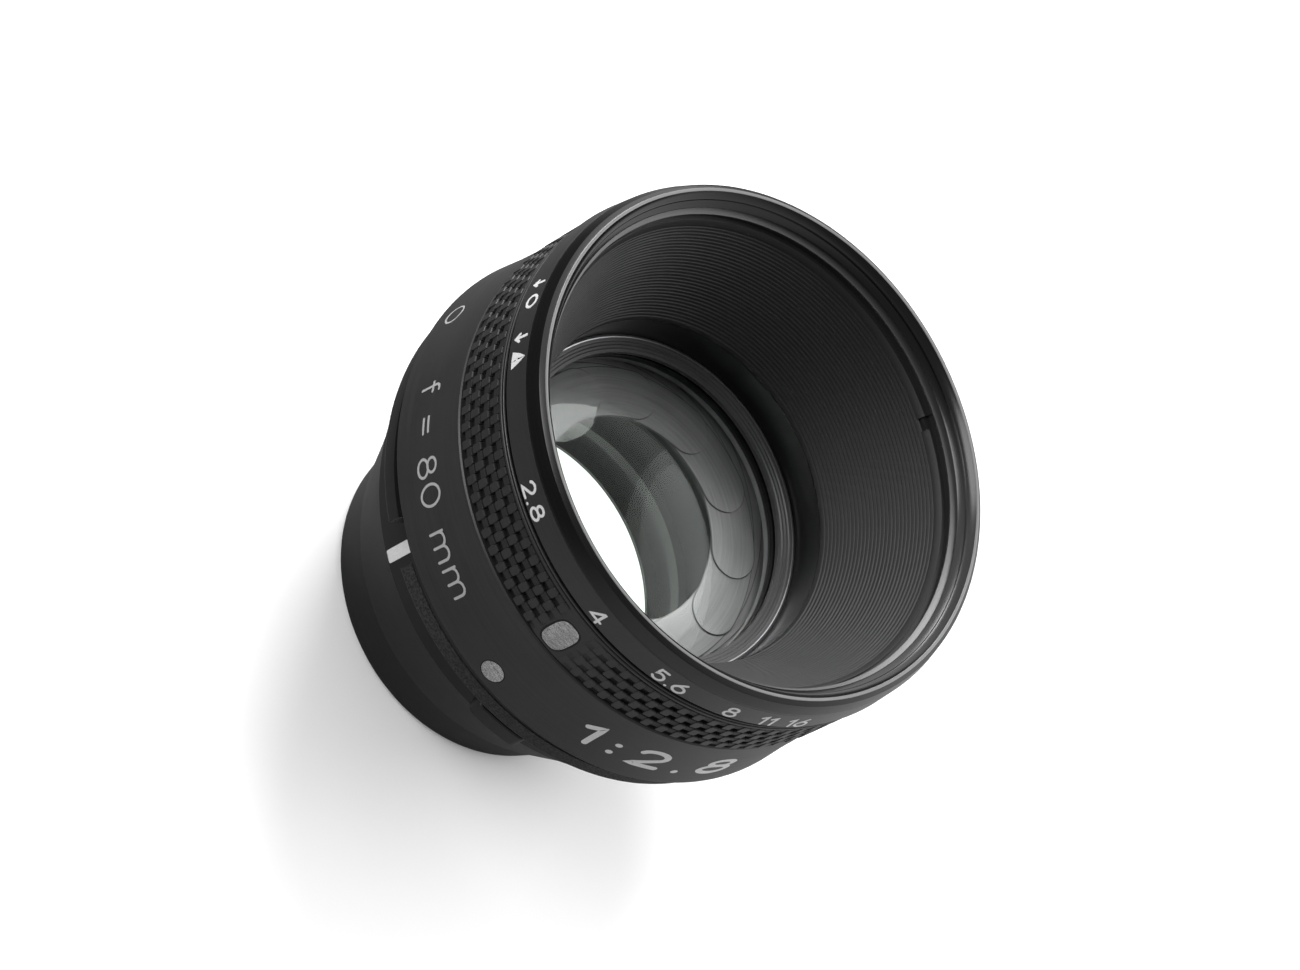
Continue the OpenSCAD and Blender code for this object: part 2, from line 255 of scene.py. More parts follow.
def metal_paint(name, tone, rough, line=0.06, line_bump=0.3, grain_bump=0.2, grain=0.12, spread_tone=0.25,
                metallic=0.0, specular=0.5, deep=None):
    """Anodised or painted metal with turning lines, a fine grain, and tone and gloss that wander a little.
    line and grain are sizes in millimetres. deep gives the radii in millimetres over which painted shade
    in the hollows fades out: near black at the first, none from the second, with the gloss dulled to match."""
    m = Paint(name)
    lines = m.noise(m.turned_place(1.5, line * MM), 1.0, 3.0, 0.6)
    grains = m.noise(m.place(), 1 / (grain * MM), 2.0, 0.6)
    patches = m.noise(m.place(), 1 / (9 * MM), 3.0, 0.5)
    mixed = m.math("MULTIPLY_ADD", lines, 0.6, m.math("MULTIPLY", patches, 0.4))
    lo = tuple(c * (1 - spread_tone) for c in tone)
    hi = tuple(min(1.0, c * (1 + spread_tone)) for c in tone)
    colour = m.ramp(mixed, [(0.3, lo), (0.7, hi)])
    gloss = m.put("MapRange", i0=mixed, i1=0.3, i2=0.7, i3=rough * 0.85, i4=min(1.0, rough * 1.15))
    # painted shade: towards the axis the colour darkens to near black and the gloss dulls
    if deep:
        r = m.length(m.flat_place())
        share = m.put("MapRange", i0=r, i1=deep[0] * MM, i2=deep[1] * MM, i3=0.03, i4=1.0)
        colour = m.put("VectorMath", {"operation": "SCALE"}, i0=colour, Scale=share)
        dull = m.math("MULTIPLY_ADD", share, -0.5, 0.5)
        gloss = m.math("ADD", gloss, dull)
    normal = m.bump(lines, line_bump, 0.004 * MM)
    normal = m.bump(grains, grain_bump, 0.006 * MM, normal)
    return m.finish(m.put("BsdfPrincipled", Base_Color=colour, Roughness=gloss, Metallic=metallic,
                          Normal=normal, Specular_IOR_Level=specular))


def frosted_silver():
    """Silver with a fine grain and short scratches."""
    m = Paint("frosted_silver")
    grains = m.noise(m.place(), 1 / (0.12 * MM), 3.0, 0.7)
    scratch_place = m.put("Mapping", i0=m.place(), Rotation=(0.3, 0.7, 0.9), Scale=(1.0, 5.0, 5.0))
    scratches = m.noise(scratch_place, 1 / (0.9 * MM), 3.0, 0.7)
    mixed = m.math("MULTIPLY_ADD", grains, 0.65, m.math("MULTIPLY", scratches, 0.35))
    colour = m.ramp(mixed, [(0.38, (0.18, 0.18, 0.18)), (0.5, (0.46, 0.46, 0.46)),
                            (0.62, (0.82, 0.82, 0.81))])
    gloss = m.put("MapRange", i0=mixed, i1=0.3, i2=0.7, i3=0.42, i4=0.6)
    normal = m.bump(mixed, 0.5, 0.02 * MM)
    return m.finish(m.put("BsdfPrincipled", Base_Color=colour, Roughness=gloss, Metallic=0.6, Normal=normal))


def mark_paint(name, tone):
    """Matte paint of the dial marks and letters."""
    m = Paint(name)
    grains = m.noise(m.place(), 1 / (0.15 * MM), 3.0, 0.6)
    colour = m.ramp(grains, [(0.3, tuple(c * 0.86 for c in tone)), (0.65, tone)])
    normal = m.bump(grains, 0.3, 0.006 * MM)
    return m.finish(m.put("BsdfPrincipled", Base_Color=colour, Roughness=0.55, Normal=normal))


def strip_paint():
    """Dark plastic with a leather-like grain."""
    m = Paint("textured_strip")
    grains = m.noise(m.place(), 1 / (0.16 * MM), 3.0, 0.65)
    cells = m.put("TexVoronoi", Vector=m.place(), Scale=1 / (0.22 * MM))
    mixed = m.math("MULTIPLY_ADD", grains, 0.6, m.math("MULTIPLY", cells, 0.4))
    colour = m.ramp(mixed, [(0.38, (0.006, 0.006, 0.006)), (0.62, (0.040, 0.040, 0.040))])
    normal = m.bump(mixed, 0.9, 0.05 * MM)
    return m.finish(m.put("BsdfPrincipled", Base_Color=colour, Roughness=0.7, Normal=normal))


def coated_glass(name, tint, sheen, gain):
    """Clear glass whose thin coating mirrors little and with a tint; lamps shine through it."""
    m = Paint(name)
    dust = m.noise(m.place(), 1 / (2.5 * MM), 3.0, 0.6)
    haze = m.put("MapRange", i0=dust, i1=0.35, i2=0.75, i3=0.0, i4=0.02)
    clear = m.put("BsdfRefraction", Color=(*tint, 1), IOR=1.5, Roughness=haze)
    mirror = m.put("BsdfGlossy", Color=(*sheen, 1), Roughness=haze)
    share = m.math("MULTIPLY", m.put("Fresnel", IOR=1.5), gain)
    body = m.put("MixShader", i0=share, i1=clear, i2=mirror)
    through = m.put("BsdfTransparent", Color=(*tint, 1))
    lamp = m.put("LightPath", out=1)
    return m.finish(m.put("MixShader", i0=lamp, i1=body, i2=through))


def floor_paint():
    """Pale matte floor that glows a little, and more far off. To other rays than the camera's it is dimmer,
    most so towards -X, so that less light comes off it onto the dark metal."""
    m = Paint("floor_paint")
    weave = m.noise(m.place(), 60.0, 3.0, 0.6)
    colour = m.ramp(weave, [(0.2, (0.90, 0.90, 0.90)), (0.8, (0.93, 0.93, 0.93))])
    matte = m.put("BsdfDiffuse", Color=colour)
    far = m.length(m.place())
    glow_share = m.put("MapRange", i0=far, i1=FLOOR_FADE[0], i2=FLOOR_FADE[1], i3=FLOOR_GLOW, i4=1.0)
    glow = m.put("Emission", Color=colour, Strength=glow_share)
    seen = m.put("AddShader", i0=matte, i1=glow)
    side = m.put("MapRange", i0=m.put("SeparateXYZ", i0=m.place()), i1=-0.08, i2=0.10,
                 i3=FLOOR_BOUNCE[0], i4=FLOOR_BOUNCE[1])
    dim = m.put("BsdfDiffuse", Color=m.put("CombineXYZ", i0=side, i1=side, i2=side))
    return m.finish(m.put("MixShader", i0=m.put("LightPath", out=0), i1=dim, i2=seen))


def light_disc_paint():
    """Plain light, for the disc that shows white through the iris."""
    m = Paint("light_disc_paint")
    return m.finish(m.put("Emission", Color=(1, 1, 1, 1), Strength=1.6))


FLOOR_GLOW = 0.12
FLOOR_FADE = (0.3, 0.8)
FLOOR_BOUNCE = (0.04, 0.45)

ANODISED = metal_paint("anodised_black", (0.014, 0.014, 0.015), 0.40)
BAND_FINISH = metal_paint("anodised_satin", (0.026, 0.026, 0.026), 0.42, line=0.16, line_bump=0.5,
                          spread_tone=0.4)
# the grip's pits and low cells carry painted shade, darker towards the axis
GRIP_FINISH_AND_SHADE = metal_paint("anodised_grip_painted_shade", (0.026, 0.026, 0.026), 0.45, line=0.09, line_bump=0.15,
                          deep=(25.33, 25.47))
BARREL_FINISH = metal_paint("anodised_barrel", (0.008, 0.008, 0.009), 0.36)
HOOD_FINISH = metal_paint("hood_matte", (0.011, 0.011, 0.011), 0.60, line_bump=0.2, grain_bump=0.5,
                          grain=0.16)
CELL_FINISH = metal_paint("cell_gloss", (0.003, 0.003, 0.003), 0.34, line_bump=0.02, grain_bump=0.03,
                          specular=0.3)
RETAINER_FINISH = metal_paint("retainer_satin", (0.05, 0.05, 0.051), 0.42, line=0.10, line_bump=0.04,
                              grain_bump=0.03)
LIP_FINISH = metal_paint("anodised_lip", (0.004, 0.004, 0.004), 0.24, line=0.05, line_bump=0.15,
                         grain_bump=0.05)
RING_FINISH = metal_paint("anodised_ring", (0.029, 0.029, 0.029), 0.36, line=0.05, line_bump=0.4)
# lighter tone for the painted highlight on the dial lip's face
EDGE_HIGHLIGHT = metal_paint("edge_painted_highlight", (0.10, 0.10, 0.10), 0.34, line=0.03, metallic=0.3)
# tone of the edge ring, also used for the painted highlight on the flange's rear edge
EDGE_DARK = metal_paint("edge_line", (0.07, 0.07, 0.07), 0.35, line=0.03, metallic=0.3)
EDGE_FINISH = metal_paint("bare_edge", (0.32, 0.32, 0.33), 0.30, metallic=0.8, line=0.03)
BLADE_FINISH = metal_paint("blade_grey", (0.21, 0.21, 0.212), 0.55, line=0.25, line_bump=0.15, grain=0.2,
                           metallic=0.1)
# darker paint on the blades' side walls: painted shade at the seams between blades
BLADE_EDGE_SHADE = metal_paint("blade_edge_painted_shade", (0.05, 0.05, 0.05), 0.5)
SCREW_FINISH = metal_paint("screw_steel", (0.45, 0.45, 0.46), 0.28, metallic=0.9, line=0.03)
BORE_FINISH = metal_paint("bore_matte", (0.012, 0.014, 0.013), 0.5, line=0.35, line_bump=0.6)
GLASS_EDGE = metal_paint("blackened_edge", (0.004, 0.004, 0.004), 0.7)
SILVER = frosted_silver()
WHITE = mark_paint("white_mark", (0.86, 0.86, 0.86))
GREY_MARK = mark_paint("grey_mark", (0.50, 0.50, 0.50))
STRIP_FINISH = strip_paint()
FRONT_GLASS = coated_glass("front_glass", (0.975, 0.98, 0.975), (0.95, 1.0, 0.97), 0.25)
REAR_GLASS = coated_glass("rear_glass", (0.955, 0.975, 0.96), (0.9, 1.0, 0.95), 0.2)


def adopt(obj, body, slot, *nodes):
    """Rides a new piece on its body, in place of the CAD nodes it stands for."""
    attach(obj, body)
    if nodes:
        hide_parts(*nodes)


# ---------- aperture ring ----------

def make_aperture_ring():
    """The dial ring: its wall, the polished lip with the lead-in and first turns of the thread, and the
    lighter line round its face that is a painted highlight."""
    wall = [(24.3, 36.0), (24.3, 41.45), (25.25, 41.45), (25.58, 41.8), (25.32, 44.42), (24.9, 44.45),
            (23.35, 44.45), (23.0, 44.25), (22.66, 44.15), (22.65, 44.0), (23.45, 44.0), (23.45, 39.1),
            (23.95, 39.1), (23.95, 37.9), (23.45, 37.9), (23.45, 36.0)]
    ring = turned("aperture_ring_shell", fillet(wall, {3: 0.2}), RING_FINISH)
    adopt(ring, "aperture_ring", "anodised_satin", "aperture_ring")
    lip = [(23.36, 44.46), (25.31, 44.46), (25.29, 44.65), (24.88, 45.9), (24.45, 46.2), (24.15, 46.2),
           (24.08, 46.1), (23.80, 45.74), (23.56, 45.60), (23.50, 45.50), (23.72, 45.24), (23.10, 44.88),
           (23.03, 44.78), (23.30, 44.52)]
    lip = fillet(lip, {2: 0.10, 3: 0.10, 4: 0.08, 5: 0.05})
    adopt(turned("aperture_ring_lip", lip, LIP_FINISH), "aperture_ring", "anodised_satin")
    # thin lighter ring on the lip's face: a painted highlight along its edge
    line = [(24.14, 46.15), (24.46, 46.15), (24.44, 46.22), (24.38, 46.235), (24.22, 46.235), (24.15, 46.21)]
    adopt(turned("aperture_ring_face_highlight", line, EDGE_HIGHLIGHT), "aperture_ring", "anodised_satin")


def make_tongue():
    """The tongue that reaches back through the band, with the fork that holds the cam ring's tab."""
    direction, width, tab = 103.0, 14.0, 6.1
    fork_z, low_z, top_z = 25.27, 24.15, 36.4

    def profile(theta):
        low = fork_z if abs(theta - direction) < tab / 2 - 1e-6 else low_z
        return [(23.45, low), (24.3, low), (24.3, top_z), (23.45, top_z)]

    half, half_tab = width / 2, tab / 2
    thetas = spread(direction - half, direction - half_tab - STEP_GAP, 6)
    thetas += spread(direction - half_tab + STEP_GAP, direction + half_tab - STEP_GAP, 7)
    thetas += spread(direction + half_tab + STEP_GAP, direction + half, 6)
    adopt(turned("iris_tongue", profile, ANODISED, thetas), "aperture_ring", "anodised_satin")


# ---------- hood ----------

HOOD_RIDGES = 30
NOTCH_HALF_WIDTH = 0.65
NOTCH_R = 22.6


def hood_profile():
    """The ridged cone from its rear edge to its front edge."""
    r0, z0, r1, z1 = 16.75, 32.45, 22.1, 42.6
    line = []
    for i in range(HOOD_RIDGES):
        for share, out in ((0.0, 0.0), (0.45, 0.0), (0.62, 0.10), (0.80, 0.10)):
            k = (i + share) / HOOD_RIDGES
            line.append((r0 + (r1 - r0) * k + out, z0 + (z1 - z0) * k - out * 0.3))
    return line


def make_hood():
    """The hood with its rim and the two spanner notches."""
    ridges = hood_profile()
    rim = [(22.08, 42.55), (22.17, 42.85), (22.42, 43.2), (22.50, 43.2), (22.56, 43.05), (22.95, 43.1),
           (23.0, 43.8), (23.1, 43.8)]
    cut = [(22.05, 42.4), (22.17, 42.4), (22.4, 42.4), (22.5, 42.4), (22.56, 42.4), (22.95, 42.4),
           (23.05, 42.5), (23.1, 43.78)]
    back = [(23.35, 43.8), (23.35, 42.93), (22.35, 42.93), (22.35, 32.1), (16.7, 32.1)]
    half = math.degrees(NOTCH_HALF_WIDTH / NOTCH_R)
    centres = (NOTCH_DIR, NOTCH_DIR + 180)

    def profile(theta):
        inside = any(abs(theta - c) < half for c in centres)
        return ridges + (cut if inside else rim) + back

    edges = [c + sign * half for c in centres for sign in (-1, 1)]
    hood = turned("hood_cone_shell", profile, HOOD_FINISH, stepped_turn(edges, 0.3))
    adopt(hood, "housing", "matte_black", "hood_cone")


def make_front_cell():
    points = [(15.0, 25.9), (22.35, 25.9), (22.35, 32.05), (16.7, 32.05), (16.7, 27.2), (15.68, 27.2),
              (15.68, 26.35), (15.0, 26.35)]
    adopt(turned("front_cell_shell", points, CELL_FINISH), "housing", "gloss_black", "front_cell")


def make_retaining_ring():
    """The stepped ring that holds the front element, and its bright edge."""
    points = [(15.0, 27.21), (16.67, 27.21), (16.67, 28.1), (16.35, 28.25), (16.0, 28.25), (15.9, 28.12),
              (15.7, 28.12), (15.6, 27.98), (15.4, 27.98), (15.3, 27.86), (15.0, 27.86)]
    points = fillet(points, {3: 0.05, 4: 0.05})
    adopt(turned("front_retainer", points, RETAINER_FINISH), "housing", "bare_edge", "front_retaining_ring")
    line = [(16.35, 28.22), (16.62, 28.1), (16.66, 28.16), (16.40, 28.29), (16.30, 28.28)]
    adopt(turned("front_retainer_edge", line, EDGE_FINISH), "housing", "bare_edge")


# ---------- iris blades ----------

OPEN_R = 13.3
BLADE_OUTER = 18.2
BLADE_REST = -11.23
BLADE_Z = 22.8
BLADE_PITCH = 0.14
BLADE_LAYERS = [(0.0, 0.0), (0.0, 0.06), (0.09, 0.1)]  # how far inset from the outline, and how high


def blade_outline():
    """One blade wide open: a curved strip with a round tip and a round root, its pivot on the X axis."""
    outer, inner, tip, root = BLADE_OUTER, OPEN_R, -98.0, 4.0
    mid, half = (outer + inner) / 2, (outer - inner) / 2
    line = [at(outer, a, 0)[:2] for a in spread(root, tip, 40)]
    cx, cy, _ = at(mid, tip, 0)
    for turn in spread(0, 180, 15)[1:-1]:
        a = math.radians(tip - turn)
        line.append((cx + half * math.cos(a), cy + half * math.sin(a)))
    line += [at(inner, a, 0)[:2] for a in spread(tip, root - 8, 40)]
    return line + [at(inner + 1.5, root - 2, 0)[:2]]


def make_blades():
    """The twelve blades, each in its own layer and turned to the opening at rest."""
    outline = blade_outline()
    n = len(outline)
    turn = math.radians(BLADE_REST)
    for i in range(BLADE_COUNT):
        spin = math.radians(FULL / BLADE_COUNT * i)
        low = BLADE_Z + i * BLADE_PITCH
        verts = []
        for inset, height in BLADE_LAYERS:
            z = low + height
            for x, y in outline:
                r = math.hypot(x, y)
                k = 1 - inset / r if r > (OPEN_R + BLADE_OUTER) / 2 else 1 + inset / r
                dx, dy = x * k - PIVOT_R, y * k
                px = PIVOT_R + dx * math.cos(turn) - dy * math.sin(turn)
                py = dx * math.sin(turn) + dy * math.cos(turn)
                verts.append((px * math.cos(spin) - py * math.sin(spin),
                              px * math.sin(spin) + py * math.cos(spin), z))
        faces = [list(range(n))[::-1], list(range(2 * n, 3 * n))]
        for k in range(2):
            for j in range(n):
                q = (j + 1) % n
                faces.append([k * n + j, k * n + q, (k + 1) * n + q, (k + 1) * n + j])
        name = f"iris_blade_{i + 1:02d}"
        blade = build_mesh(name + "_leaf", verts, faces, BLADE_FINISH)
        blade.data.materials.append(BLADE_EDGE_SHADE)
        for face in blade.data.polygons:
            # side walls get the darker paint, painted shade at the seams
            face.material_index = int(abs(face.normal.z) < 0.95)
        adopt(blade, f"blade_{i + 1:02d}", "blade_grey", name)


# ---------- glass ----------

def lens_profile(edge_r, rear_z, rear_r, front_z, front_r, steps=22):
    """Closed half section of a lens. A positive radius bulges outward, a negative one is hollow."""
    def sag(r, radius):
        return abs(radius) - math.sqrt(radius * radius - r * r)

    rear, front = [], []
    for i in range(steps + 1):
        r = edge_r * i / steps
        rear.append((r, rear_z + math.copysign(sag(r, rear_r), rear_r)))
        front.append((r, front_z - math.copysign(sag(r, front_r), front_r)))
    return rear + front[::-1]


def make_glass():
    """The front element, the cemented doublet as one block, and the rear element."""
    table = [
        ("front_element_glass", ["front_element"], FRONT_GLASS, (15.65, 28.46, -60.0, 29.9, 46.7)),
        ("doublet_glass", ["doublet_front", "doublet_rear"], REAR_GLASS, (15.2, 8.03, -400.0, 18.08, 400.0)),
        ("rear_element_glass", ["rear_element"], REAR_GLASS, (15.2, 1.18, 400.0, 6.83, 400.0)),
    ]
    for name, nodes, finish, sizes in table:
        glass = turned(name, lens_profile(*sizes), finish)
        glass.data.materials.append(GLASS_EDGE)
        rim = (sizes[0] - 0.01) * MM
        for face in glass.data.polygons:
            if all(math.hypot(*glass.data.vertices[v].co[:2]) > rim for v in face.vertices):
                face.material_index = 1
        adopt(glass, "housing", "coated_glass", *nodes)


# ---------- grip ----------

GRIP_PAIRS = 96
GRIP_ROWS = 4
GRIP_LOW = 25.42
GRIP_PIT = 25.20
GRIP_HIGH = 25.5
GRIP_GROOVE = 25.08
GRIP_ROW_Z = 34.42
GRIP_ROW_PITCH = 1.5


def grip_depth(theta):
    """How deep the pattern is cut at a direction: none beside the index dot, full further away."""
    away = (theta - DOT_DIR + 180) % FULL - 180
    near, far = (2.8, 32.0) if away > 0 else (-3.2, -11.0)
    k = min(1.0, max(0.0, (away - near) / (far - near)))
    return math.sin(k * math.pi / 2)


def make_grip():
    """Checkered sleeve: rows of staggered rounded squares between thin round grooves."""
    half_cell = [(0.000, None), (0.020, 0.16), (0.050, 0.05), (0.09, 0.0), (0.42, 0.0), (0.46, 0.05),
                 (0.49, 0.16), (0.4999, None)]
    pair = FULL / GRIP_PAIRS
    thetas, cells = [], {}
    for i in range(GRIP_PAIRS):
        for side in (0, 1):
            for share, corner in half_cell:
                theta = DOT_DIR + (i + share + 0.5 * side) * pair
                thetas.append(theta)
                cells[round(theta, 6)] = (side, corner)

    def profile(theta):
        side, corner = cells.get(round(theta, 6)) or cells[round(theta - FULL, 6)]
        share = grip_depth(theta)
        smooth = GRIP_HIGH - 0.02

        def level(r):
            return smooth + (r - smooth) * share

        rows = []
        groove = level(GRIP_GROOVE)
        for i in range(GRIP_ROWS):
            z = GRIP_ROW_Z + GRIP_ROW_PITCH * i
            high = corner is not None and side == i % 2
            top = level(GRIP_HIGH if high else GRIP_LOW)
            foot = top if high else level(GRIP_PIT)
            rise = 0.0 if high else 0.42
            trim = corner if high else 0.0
            rows += [(groove, z), (groove, z + 0.06 + trim * 0.7), (foot - 0.05 * share, z + 0.09 + trim),
                     (foot, z + 0.16 + trim + rise), (top, z + 0.20 + trim + rise), (top, z + 1.30 - trim),
                     (top - 0.10 * share, z + 1.36 - trim), (groove, z + 1.38 - trim * 0.7)]
        return ([(24.78, 34.0), (25.25, 34.0), (25.3, 34.05), (25.3, 34.25), (25.2, 34.3)] + rows
                + [(groove, 40.46), (25.46, 40.50), (25.5, 40.55), (25.5, 40.78), (25.44, 40.84),
                   (24.35, 40.84), (24.35, 35.05), (24.78, 35.05)])

    grip = turned("grip_sleeve_shell", profile, GRIP_FINISH_AND_SHADE, thetas + [thetas[0] + FULL])
    adopt(grip, "housing", "anodised_black", "grip_sleeve")


def make_edge_ring():
    points = [(25.25, 40.98), (25.38, 40.98), (25.43, 41.02), (25.43, 41.08), (25.38, 41.12), (25.25, 41.12)]
    adopt(turned("edge_ring_line", points, EDGE_DARK), "housing", "bare_edge", "edge_ring")


# ---------- band, flange and barrel ----------

BAND_OUTLINE = [(25.95, 24.75), (25.65, 28.0), (25.34, 33.75)]


def radius_between(low, high, z):
    """Radius at height z on the straight line through two points (r, z)."""
    return low[0] + (high[0] - low[0]) * (z - low[1]) / (high[1] - low[1])


def band_r(z):
    """Radius of the band's outside at height z."""
    rear, middle, front = BAND_OUTLINE
    if z < middle[1]:
        return radius_between(rear, middle, z)
    return radius_between(middle, front, z)


def make_band():
    """The wide band, with the recess inside it where the tongue turns."""
    outer = [(24.35, 24.4), (25.6, 24.4), (25.95, 24.75)]
    outer += [(band_r(z), z) for z in spread(25.4, 33.6, 8)]
    outer += [(25.34, 33.75), (25.2, 33.9), (24.75, 33.9), (24.75, 35.0), (24.35, 35.0)]
    outer = fillet(outer, {1: 0.08, 2: 0.25, len(outer) - 5: 0.08})

    def profile(theta):
        r = 24.34 if WINDOW[0] < theta < WINDOW[1] else 23.43
        return outer + [(24.35, 27.4), (r, 27.39), (r, 26.2), (24.35, 26.19)]

    band = turned("band_sleeve_shell", profile, BAND_FINISH, stepped_turn(WINDOW, 0.2))
    adopt(band, "housing", "anodised_satin", "band_sleeve")


def make_flange():
    """The flange ring with its notch and slot, the textured strip on it, and a lighter line on its rear edge
    that is a painted highlight.
    """
    notch = (-4.9, 5.0)
    strip_span = (5.4, 118)
    slot_span, slot_r, full_r = 85, 24.0, 25.0
    start, stop = WHITE_DIR + notch[1], WHITE_DIR + notch[0] + FULL
    slot0 = stop - slot_span

    def profile(theta):
        r = slot_r if theta > slot0 else full_r
        return [(23.43, 21.3), (24.92, 21.3), (25.0, 21.38), (25.0, 22.72), (24.97, 22.8), (r, 22.81),
                (r, 23.8), (23.43, 23.8)]

    thetas = spread(start, slot0 - STEP_GAP, 220) + spread(slot0 + STEP_GAP, stop, 90)
    adopt(turned("flange_ring_shell", profile, ANODISED, thetas), "housing", "anodised_black", "flange_ring")
    strip = [(24.95, 21.45), (25.1, 21.45), (25.12, 21.48), (25.12, 23.07), (25.1, 23.1), (24.95, 23.1)]
    thetas = spread(WHITE_DIR + strip_span[0], WHITE_DIR + strip_span[1], 130)
    adopt(turned("flange_strip_textured", strip, STRIP_FINISH, thetas), "housing", "matte_strip",
          "flange_strip")
    # thin lighter line on the rear edge: a painted highlight of its bevel
    edge = [(24.93, 21.29), (25.02, 21.29), (25.03, 21.36), (24.95, 21.38)]
    thetas = spread(start + 0.2, stop - 0.2, 340)
    adopt(turned("flange_edge_painted_highlight", edge, EDGE_DARK, thetas), "housing", "anodised_black")


def make_lugs():
    """The bayonet lugs, with rounded ends."""
    low, high, inner, outer, round_mm = 18.7, 20.6, 22.6, 24.8, 0.8
    reach = math.degrees(round_mm / outer)
    for i in range(LUG_COUNT):
        start = LUG_START + FULL / LUG_COUNT * i
        stop = start + LUG_SPAN

        def profile(theta):
            near = min(theta - start, stop - theta)
            k = 1.0 if near >= reach else math.sqrt(max(0.0, 1 - (1 - near / reach) ** 2))
            r = outer - round_mm * (1 - k)
            return [(inner, low), (r - 0.12, low), (r, low + 0.12), (r, high - 0.12), (r - 0.12, high),
                    (inner, high)]

        ends = [0.0, 0.06, 0.2, 0.42, 0.7, 1.0]
        thetas = [start + reach * k for k in ends] + spread(start + reach * 1.5, stop - reach * 1.5, 40)
        thetas += [stop - reach * k for k in reversed(ends)]
        lug = turned(f"bayonet_lug_{i + 1}_plate", profile, ANODISED, thetas)
        adopt(lug, "housing", "anodised_black", f"bayonet_lug_{i + 1}")


def make_barrel():
    points = [(13.9, 0.0), (15.9, 0.0), (16.4, 0.5), (17.9, 6.5), (18.3, 6.8), (22.3, 16.4), (22.7, 16.8),
              (22.7, 21.3), (22.37, 21.3), (22.37, 21.97), (15.3, 21.97), (15.3, 1.4), (13.9, 1.4)]
    points = fillet(points, {1: 0.15, 2: 0.15, 3: 0.15, 4: 0.15, 5: 0.1, 6: 0.12})
    adopt(turned("barrel_shell_turned", points, BARREL_FINISH), "housing", "anodised_black", "barrel_shell")


def make_bore_rings():
    """The retainer, the spacer and the grooved baffle in the rear bore."""
    retaining = [(14.3, 17.85), (15.27, 17.85), (15.27, 19.4), (14.5, 19.4), (14.3, 19.2)]
    adopt(turned("rear_retainer", retaining, BORE_FINISH), "housing", "matte_black", "rear_retaining_ring")
    spacer = [(14.3, 6.6), (15.27, 6.6), (15.27, 7.7), (14.3, 7.7)]
    adopt(turned("rear_spacer_ring", spacer, BORE_FINISH), "housing", "matte_black", "rear_spacer")
    count, first_z, pitch = 6, 19.55, 0.36
    grooves = [(15.29, 19.45)]
    for i in range(count):
        z = first_z + i * pitch
        grooves += [(15.1, z), (15.25, z + pitch / 2)]
    grooves += [(15.29, 21.95)]
    adopt(turned("bore_baffle", grooves, BORE_FINISH), "housing", "matte_black")


# ---------- inlays ----------

def inlay(name, outline, direction, z, radius, material, body, slot, node, sink=0.35, edge=0.10):
    """Thin piece with a rounded edge let into the outside at direction and height z, where radius gives
    the outside's radius. outline is a list of (across, up) in millimetres round its centre."""
    layers = [(1.0, -sink), (1.0, -0.06), (1 - edge * 0.4, -0.015), (1 - edge, 0.0), (0.7, 0.0), (0.45, 0.0),
              (0.2, 0.0)]
    n = len(outline)
    verts, faces = [], []
    for scale, lift in layers:
        for across, up in outline:
            height = z + up * scale
            r = radius(height) + lift
            verts.append(at(r, direction + math.degrees(across * scale / r), height))
    verts.append(at(radius(z), direction, z))
    verts.append(at(radius(z) - sink, direction, z))
    for k in range(len(layers) - 1):
        for i in range(n):
            j = (i + 1) % n
            faces.append([k * n + i, k * n + j, (k + 1) * n + j, (k + 1) * n + i])
    last = (len(layers) - 1) * n
    for i in range(n):
        j = (i + 1) % n
        faces.append([last + i, last + j, len(verts) - 2])
        faces.append([j, i, len(verts) - 1])
    adopt(build_mesh(name, verts, faces, material), body, slot, *([node] if node else []))


def rounded_outline(width, height, power, count=56):
    """Superellipse of the given size."""
    out = []
    for i in range(count):
        a = 2 * math.pi * i / count
        c, s = math.cos(a), math.sin(a)
        out.append((width / 2 * math.copysign(abs(c) ** (2 / power), c),
                    height / 2 * math.copysign(abs(s) ** (2 / power), s)))
    return out


def make_inlays():
    """The two silver dots in their dark wells, and the white index."""
    index_z, mount_z, white_z = 37.0, 26.6, 18.95
    inlay("index_dot_well", rounded_outline(3.0, 4.95, 3.0), DOT_DIR, index_z, lambda z: 25.50, GLASS_EDGE,
          "housing", "anodised_black", None)
    inlay("mount_dot_well", rounded_outline(2.75, 2.75, 2.0), DOT_DIR, mount_z, lambda z: band_r(z) + 0.005,
          GLASS_EDGE, "housing", "anodised_black", None)
    inlay("index_dot_inlay", rounded_outline(2.5, 4.4, 3.0), DOT_DIR, index_z, lambda z: 25.56, SILVER,
          "housing", "silver_inlay", "index_dot")
    inlay("mount_dot_inlay", rounded_outline(2.4, 2.4, 2.0), DOT_DIR, mount_z, lambda z: band_r(z) + 0.02,
          SILVER, "housing", "silver_inlay", "mount_dot")
    inlay("white_index_mark", rounded_outline(1.28, 4.06, 12.0), WHITE_DIR, white_z, lambda z: LAND_R + 0.03,
          WHITE, "housing", "white_paint", "white_index", edge=0.03)


# ---------- lettering ----------

def arc(cx, cy, rx, ry, start, stop, steps=14):
    """Points on an ellipse between two directions."""
    return [(cx + rx * math.cos(math.radians(a)), cy + ry * math.sin(math.radians(a)))
            for a in spread(start, stop, steps)]


